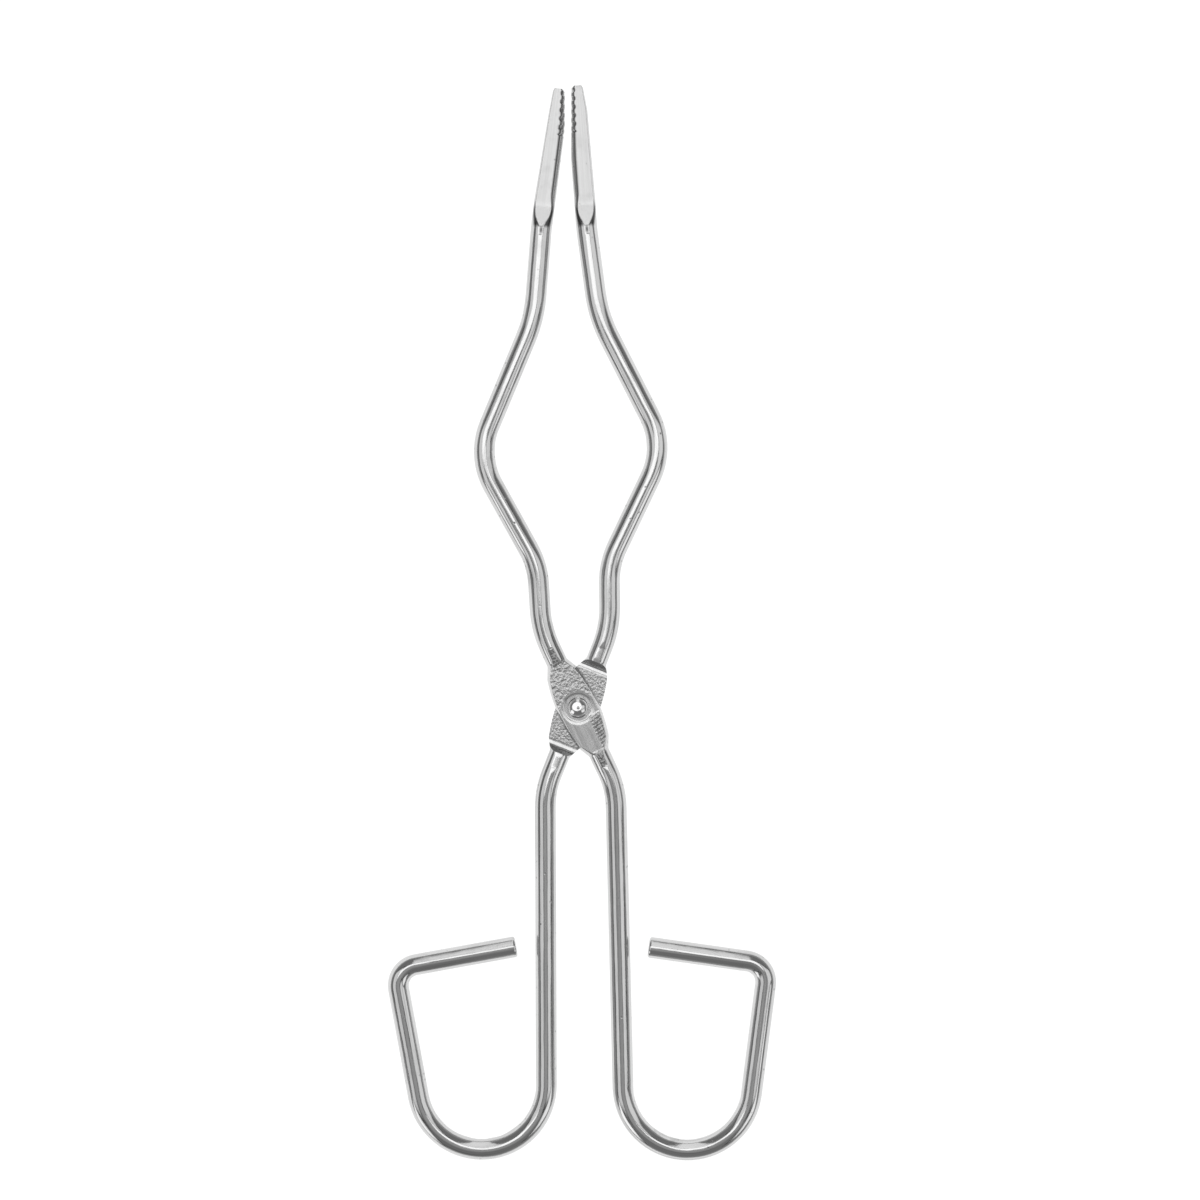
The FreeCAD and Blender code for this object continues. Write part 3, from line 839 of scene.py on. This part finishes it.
def plated_steel(groups):
    """Bright plated rod, with pressed jaw faces and a dull hammered hinge."""
    material, tree, shader = steel_material("bright_plated_steel")
    place = attribute(tree, "straight_place", "Vector")
    hammered, rim = attribute(tree, "hammered"), attribute(tree, "rim")
    tooth_groove_shade, fold_shade = attribute(tree, "tooth_groove_shade"), attribute(tree, "fold_painted_shade")
    face, hinge = attribute(tree, "face"), attribute(tree, "on_hinge")
    lines, ripple, pits, hairs = (placed_group(tree, groups[key], Place=place)
                                  for key in ("lines", "ripple", "pits", "hairs"))
    wear = placed_group(tree, groups["wear"], Place=place, Edge=rim)
    tone = Term(tree, lines.outputs["Tone"])
    dull, bright = Term(tree, wear.outputs["Dull"]), Term(tree, wear.outputs["Bright"])
    pit, hair = Term(tree, pits.outputs["Mask"]), Term(tree, hairs.outputs["Mask"])

    score_and_reflection = Term(tree, lines.outputs["Score And Reflection"])
    jaw, squeezed = attribute(tree, "jaw_side"), attribute(tree, "squeezed")
    ridged, plain = attribute(tree, "ridged"), face * -1.0 + 1.0
    colour = colour_mix(tree, tone, PLAIN, BRIGHT)
    # Partly painted reflection: the die scores are painted dark, which also stands for the thin
    # dark line reflected along the rods
    colour = colour_mix(tree, score_and_reflection * plain * 0.55, colour, SCORE_AND_PAINTED_REFLECTION)
    # Partly painted shade: dull plating on the squeezed inner sides of the bends is darkened
    # further, for the dark patches that the bends reflect
    colour = colour_mix(tree, squeezed * dull * 0.8, colour, DARK_PITS_AND_PAINTED_SHADE)
    colour = colour_mix(tree, dull * 0.5, colour, DULLED)
    colour = colour_mix(tree, hammered * 0.7, colour, HAMMERED)
    colour = colour_mix(tree, face * attribute(tree, "run_out") * 0.8, colour, POLISHED)
    colour = colour_mix(tree, bright * 0.7, colour, WORN)
    # Painted shade on the hinge's pressed tails
    colour = colour_mix(tree, attribute(tree, "tail") * 0.8, colour, DARK_PITS_AND_PAINTED_SHADE)
    colour = colour_mix(tree, pit * 0.8, colour, DARK_PITS_AND_PAINTED_SHADE)
    # Painted shade: the fold lines, run-out fangs and tooth grooves are painted nearly black
    colour = colour_mix(tree, (fold_shade * 0.92).math("MAXIMUM", tooth_groove_shade * 0.5), colour, PAINTED_SHADE_BLACK)
    shader.inputs["Metallic"].default_value = 1.0
    feed(tree, colour, shader.inputs["Base Color"])
    roughness = tone * 0.03 + dull * 0.06 + hammered * 0.04 + face * hinge * 0.08 \
        + face * jaw * 0.19 + plain * jaw * 0.16 + hair * 0.12 + pit * 0.3 + 0.09
    crinkle = node_in(tree, "ShaderNodeTexNoise", Vector=place, Scale=1750.0, Detail=2.0)
    split = node_in(tree, "ShaderNodeSeparateXYZ", Vector=place)
    slant = Term(tree, split.outputs["Y"]) * 0.97 + Term(tree, split.outputs["X"]) * 0.24
    slant = slant / RIDGE_PITCH + Term(tree, crinkle.outputs[0]) * 0.9
    ridges = ((slant.math("FRACT") - 0.5).math("ABSOLUTE") * 2.0).math("SMOOTH_MIN", 0.8, 0.3)
    feed(tree, roughness, shader.inputs["Roughness"])

    height = Term(tree, lines.outputs["Height"]) * 0.014 * plain + \
        Term(tree, ripple.outputs["Height"]) * 0.045 - pit * 0.02 - hair * 0.0025 \
        + Term(tree, crinkle.outputs[0]) * hammered * 0.12 + ridges * ridged * 0.11
    bump = node_in(tree, "ShaderNodeBump", Strength=1.0, Distance=MM, Height=height)
    tree.links.new(bump.outputs[0], shader.inputs["Normal"])
    return material


def rivet_material(groups):
    """Turned and polished rivet steel, with the fine scuffs of the setting tool."""
    material, tree, shader = steel_material("polished_rivet_steel")
    coordinates = tree.nodes.new("ShaderNodeTexCoord")
    place = Term(tree, coordinates.outputs["Object"])
    pits = placed_group(tree, groups["pits"], Place=place, Density=1500.0, Share=0.3)
    hairs = placed_group(tree, groups["hairs"], Place=place, Fineness=900.0, Share=0.8)
    wear = placed_group(tree, groups["wear"], Place=place, Size=420.0)
    pit, hair = Term(tree, pits.outputs["Mask"]), Term(tree, hairs.outputs["Mask"])
    dull = Term(tree, wear.outputs["Dull"])
    colour = colour_mix(tree, dull, BRIGHT, PLAIN)
    colour = colour_mix(tree, pit * 0.6, colour, (0.25, 0.25, 0.25))
    shader.inputs["Metallic"].default_value = 1.0
    feed(tree, colour, shader.inputs["Base Color"])
    feed(tree, dull * 0.10 + hair * 0.1 + 0.13, shader.inputs["Roughness"])
    bump = node_in(tree, "ShaderNodeBump", Strength=1.0, Distance=MM,
                   Height=pit * -0.02 - hair * 0.004)
    tree.links.new(bump.outputs[0], shader.inputs["Normal"])
    return material


# ----------------------------------------------------------------------
# The rivet, turned about its axis
# ----------------------------------------------------------------------
def rivet_profile():
    """(radius, height) points from the middle of the tail to the top of the head."""
    base = PLATE_FACE - SEAT_DEPTH + HEAD_CLEARANCE
    top = base + HEAD_LIP + HEAD_DOME
    ball = (HEAD_RADIUS ** 2 + HEAD_DOME ** 2) / (2 * HEAD_DOME)
    tail_edge = 0.1
    points = [(0.0, -ROD + 0.03), (1.0, -ROD + 0.01), (TAIL_RADIUS - tail_edge * 2, -ROD),
              (TAIL_RADIUS - tail_edge * 0.6, -ROD + 0.03), (TAIL_RADIUS, -ROD + tail_edge),
              (TAIL_RADIUS, -PLATE_FACE - 0.01), (SHANK_RADIUS, -PLATE_FACE),
              (SHANK_RADIUS, 0.0), (SHANK_RADIUS, base - 0.02), (SHANK_RADIUS + 0.02, base),
              (HEAD_RADIUS - 0.12, base), (HEAD_RADIUS - 0.04, base + 0.02),
              (HEAD_RADIUS, base + 0.07), (HEAD_RADIUS - 0.005, base + HEAD_LIP)]
    rim_angle = atan2(HEAD_RADIUS, ball - HEAD_DOME)
    steps = 34
    for k in range(1, steps):
        a = rim_angle * (1 - k / steps)
        points.append((ball * sin(a), top - ball + ball * cos(a)))
    return points, top


def struck(x, y, height, top):
    """The height of the dome after the setting tool has struck it: a flat and the dents listed in
    RIVET_DENTS.
    """
    flat = top - 0.20 + x * 0.08 - y * 0.12
    height = min(height, flat)
    for cx, cy, wide, deep in RIVET_DENTS:
        off = hypot(x - cx, y - cy) / wide
        if off < 1:
            height -= deep * (1 - off * off) ** 2
    return height


def make_rivet(steel):
    profile, top = rivet_profile()
    around = 96
    turned = bmesh.new()
    rings = []
    for radius, height in profile[1:]:
        ring = []
        for k in range(around):
            x, y = radius * cos(2 * pi * k / around), radius * sin(2 * pi * k / around)
            z = struck(x, y, height, top) if height > PLATE_FACE + HEAD_LIP else height
            ring.append(turned.verts.new((x * MM, y * MM, z * MM)))
        rings.append(ring)
    foot = turned.verts.new((0, 0, profile[0][1] * MM))
    crown = turned.verts.new((0, 0, struck(0, 0, top, top) * MM))
    for k in range(around):
        n = (k + 1) % around
        turned.faces.new((foot, rings[0][n], rings[0][k]))
        turned.faces.new((crown, rings[-1][k], rings[-1][n]))
        for low, high in zip(rings, rings[1:]):
            turned.faces.new((low[k], low[n], high[n], high[k]))
    bmesh.ops.recalc_face_normals(turned, faces=turned.faces)
    mesh = bpy.data.meshes.new("set_rivet")
    turned.to_mesh(mesh)
    turned.free()
    mesh.transform(Matrix.Translation((0, 0, MIDDLE_PLANE * MM)))
    mesh.polygons.foreach_set("use_smooth", [True] * len(mesh.polygons))
    mesh.set_sharp_from_angle(angle=radians(40))
    mesh.materials.append(steel)
    rivet = bpy.data.objects.new("set_rivet", mesh)
    bpy.context.scene.collection.objects.link(rivet)
    return rivet


# ----------------------------------------------------------------------
# Making
# ----------------------------------------------------------------------
groups = {
    "lines": drawn_lines_group(), "ripple": ripple_group(), "pits": pits_group(),
    "hairs": scratches_group(), "wear": handling_wear_group(),
}
steel = plated_steel(groups)
tree = arm_tree()
front = make_arm("front_bent_arm", FRONT_BENDS, tree, steel, 3.0, {
    "Bore Radius": (SHANK_RADIUS + RUNNING_CLEARANCE) * MM}, False)
rear = make_arm("rear_bent_arm", REAR_BENDS, tree, steel, 11.0, {"Seat Depth": 0.0}, True)
rivet = make_rivet(rivet_material(groups))

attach(front, "front")
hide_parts("front_arm")
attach(rear, "rear")
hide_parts("rear_arm")
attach(rivet, "rear")
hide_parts("pivot_rivet")

# ----------------------------------------------------------------------
# Studio: a pale floor, soft panels and a camera that looks straight down
# ----------------------------------------------------------------------
ROOM_ABOVE, ROOM_OVERHEAD, ROOM_AT_HORIZON = 0.20, 0.40, 0.44
FLOOR_GLOW, SEEN_SHARE, MIRRORED_SHARE = 1.15, 0.92, 0.80


def blend_into(tree, share, first, second, output):
    """Mixes two shaders by the share, for the named output node."""
    both = tree.nodes.new("ShaderNodeMixShader")
    for value, socket in zip((share, first, second), both.inputs):
        feed(tree, value, socket)
    feed(tree, both.outputs[0], tree.nodes[output].inputs["Surface"])


scene = bpy.context.scene
scene.view_settings.view_transform = "Standard"

floor_mesh = bpy.data.meshes.new("studio_floor")
floor_mesh.from_pydata([(-3, -3, 0), (3, -3, 0), (3, 3, 0), (-3, 3, 0)], [], [(0, 1, 2, 3)])
floor = bpy.data.objects.new("studio_floor", floor_mesh)
scene.collection.objects.link(floor)
floor.location.z = -0.0001
paper = bpy.data.materials.new("pale_floor")
paper.use_nodes = True
nodes = paper.node_tree.nodes
matt = nodes["Principled BSDF"]
matt.inputs["Base Color"].default_value = (0.9, 0.9, 0.9, 1)
matt.inputs["Roughness"].default_value = 0.9
matt.inputs["Specular IOR Level"].default_value = 0.0
glow = nodes.new("ShaderNodeEmission")
glow.inputs["Strength"].default_value = FLOOR_GLOW
rays = nodes.new("ShaderNodeLightPath")
seen = Term(paper.node_tree, rays.outputs["Is Camera Ray"])
share = ramped(seen, 0, 1, MIRRORED_SHARE, SEEN_SHARE)
blend_into(paper.node_tree, share, matt.outputs[0], glow.outputs[0], "Material Output")
floor_mesh.materials.append(paper)

world = bpy.data.worlds.new("studio")
scene.world = world
world.use_nodes = True
nodes = world.node_tree.nodes
room = nodes["Background"]
sky = nodes.new("ShaderNodeTexCoord")
split = node_in(world.node_tree, "ShaderNodeSeparateXYZ", Vector=sky.outputs["Generated"])
rise = Term(world.node_tree, split.outputs["Z"])
room_glow = ramped(rise, 0.86, 1.0, ROOM_ABOVE, ROOM_OVERHEAD) \
    .math("MAXIMUM", ramped(rise, 0.35, 0.0, ROOM_ABOVE, ROOM_AT_HORIZON))
feed(world.node_tree, room_glow, room.inputs["Strength"])
room.inputs["Color"].default_value = (1, 1, 1, 1)
wall = nodes.new("ShaderNodeBackground")
wall.inputs["Color"].default_value = (0.95, 0.95, 0.95, 1)
rays = nodes.new("ShaderNodeLightPath")
blend_into(world.node_tree, rays.outputs["Is Camera Ray"], room.outputs[0], wall.outputs[0],
           "World Output")


def cloth_glow(name, glow, soft):
    """The lit cloth of a soft panel: even in the middle, and fading near its edges."""
    material = bpy.data.materials.new(name)
    material.use_nodes = True
    tree = material.node_tree
    tree.nodes.remove(tree.nodes["Principled BSDF"])
    light = tree.nodes.new("ShaderNodeEmission")
    across = tree.nodes.new("ShaderNodeUVMap")
    across.uv_map = "cloth"
    split = node_in(tree, "ShaderNodeSeparateXYZ", Vector=across.outputs[0])
    fade = None
    for axis in ("X", "Y"):
        from_edge = (Term(tree, out_of(split, axis)) - 0.5).math("ABSOLUTE")
        part = ramped(from_edge, 0.5 - soft, 0.5, 1.0, 0.0, smooth=True)
        fade = part if fade is None else fade * part
    feed(tree, fade * glow, light.inputs["Strength"])
    tree.links.new(light.outputs[0], tree.nodes["Material Output"].inputs["Surface"])
    return material


def panel(name, across, forward, wide, deep, glow, soft=0.25, away=3.0):
    """A soft panel that faces the tongs, level along X. Its place is its angle from straight up,
    as a share towards +X and a share towards +Y, and its size is the angles that it fills."""
    tilt, heading = radians(hypot(across, forward)), atan2(forward, across)
    place = Vector((sin(tilt) * cos(heading), sin(tilt) * sin(heading), cos(tilt))) * away
    half_wide, half_deep = away * tan(radians(wide / 2)), away * tan(radians(deep / 2))
    mesh = bpy.data.meshes.new(name)
    mesh.from_pydata([(-half_wide, -half_deep, 0), (half_wide, -half_deep, 0),
                      (half_wide, half_deep, 0), (-half_wide, half_deep, 0)], [], [(3, 2, 1, 0)])
    cloth = mesh.uv_layers.new(name="cloth")
    for loop, corner in zip(cloth.data, ((0, 1), (1, 1), (1, 0), (0, 0))):
        loop.uv = corner
    mesh.materials.append(cloth_glow(name, glow, soft))
    lamp = bpy.data.objects.new(name, mesh)
    scene.collection.objects.link(lamp)
    away_from_tongs = place.normalized()
    level = (Vector((1, 0, 0)) - away_from_tongs * away_from_tongs.x).normalized()
    turned = Matrix((level, away_from_tongs.cross(level), away_from_tongs)).transposed()
    lamp.location = place
    lamp.rotation_euler = turned.to_euler()
    lamp.visible_camera = False
    lamp.visible_shadow = False


panel("overhead_strip", -9, 8.5, 76, 20, 1.50, soft=0.2)
panel("head_panel", 0, 50, 28, 84, 1.0, soft=0.12, away=3.2)
panel("right_front_panel", 49, -31, 44, 34, 1.15, away=2.8)
panel("left_front_panel", -56, -43, 38, 38, 1.40, away=2.8)
panel("left_panel", -42, 0, 40, 50, 0.85, soft=0.2)
panel("right_panel", 44, 2, 56, 44, 0.90, soft=0.2)

camera_data = bpy.data.cameras.new("camera")
camera = bpy.data.objects.new("camera", camera_data)
scene.collection.objects.link(camera)
scene.camera = camera
camera_height, view_width, camera_turn = 1.0, 283.8 * MM, radians(-1.2)
camera_data.sensor_width = 36.0
camera_data.lens = camera_data.sensor_width * camera_height / view_width
camera_data.clip_start, camera_data.clip_end = 0.05, 20
camera.location = (5.73 * MM, 25.31 * MM, camera_height + MIDDLE_PLANE * MM)
camera.rotation_euler = (0, 0, camera_turn)
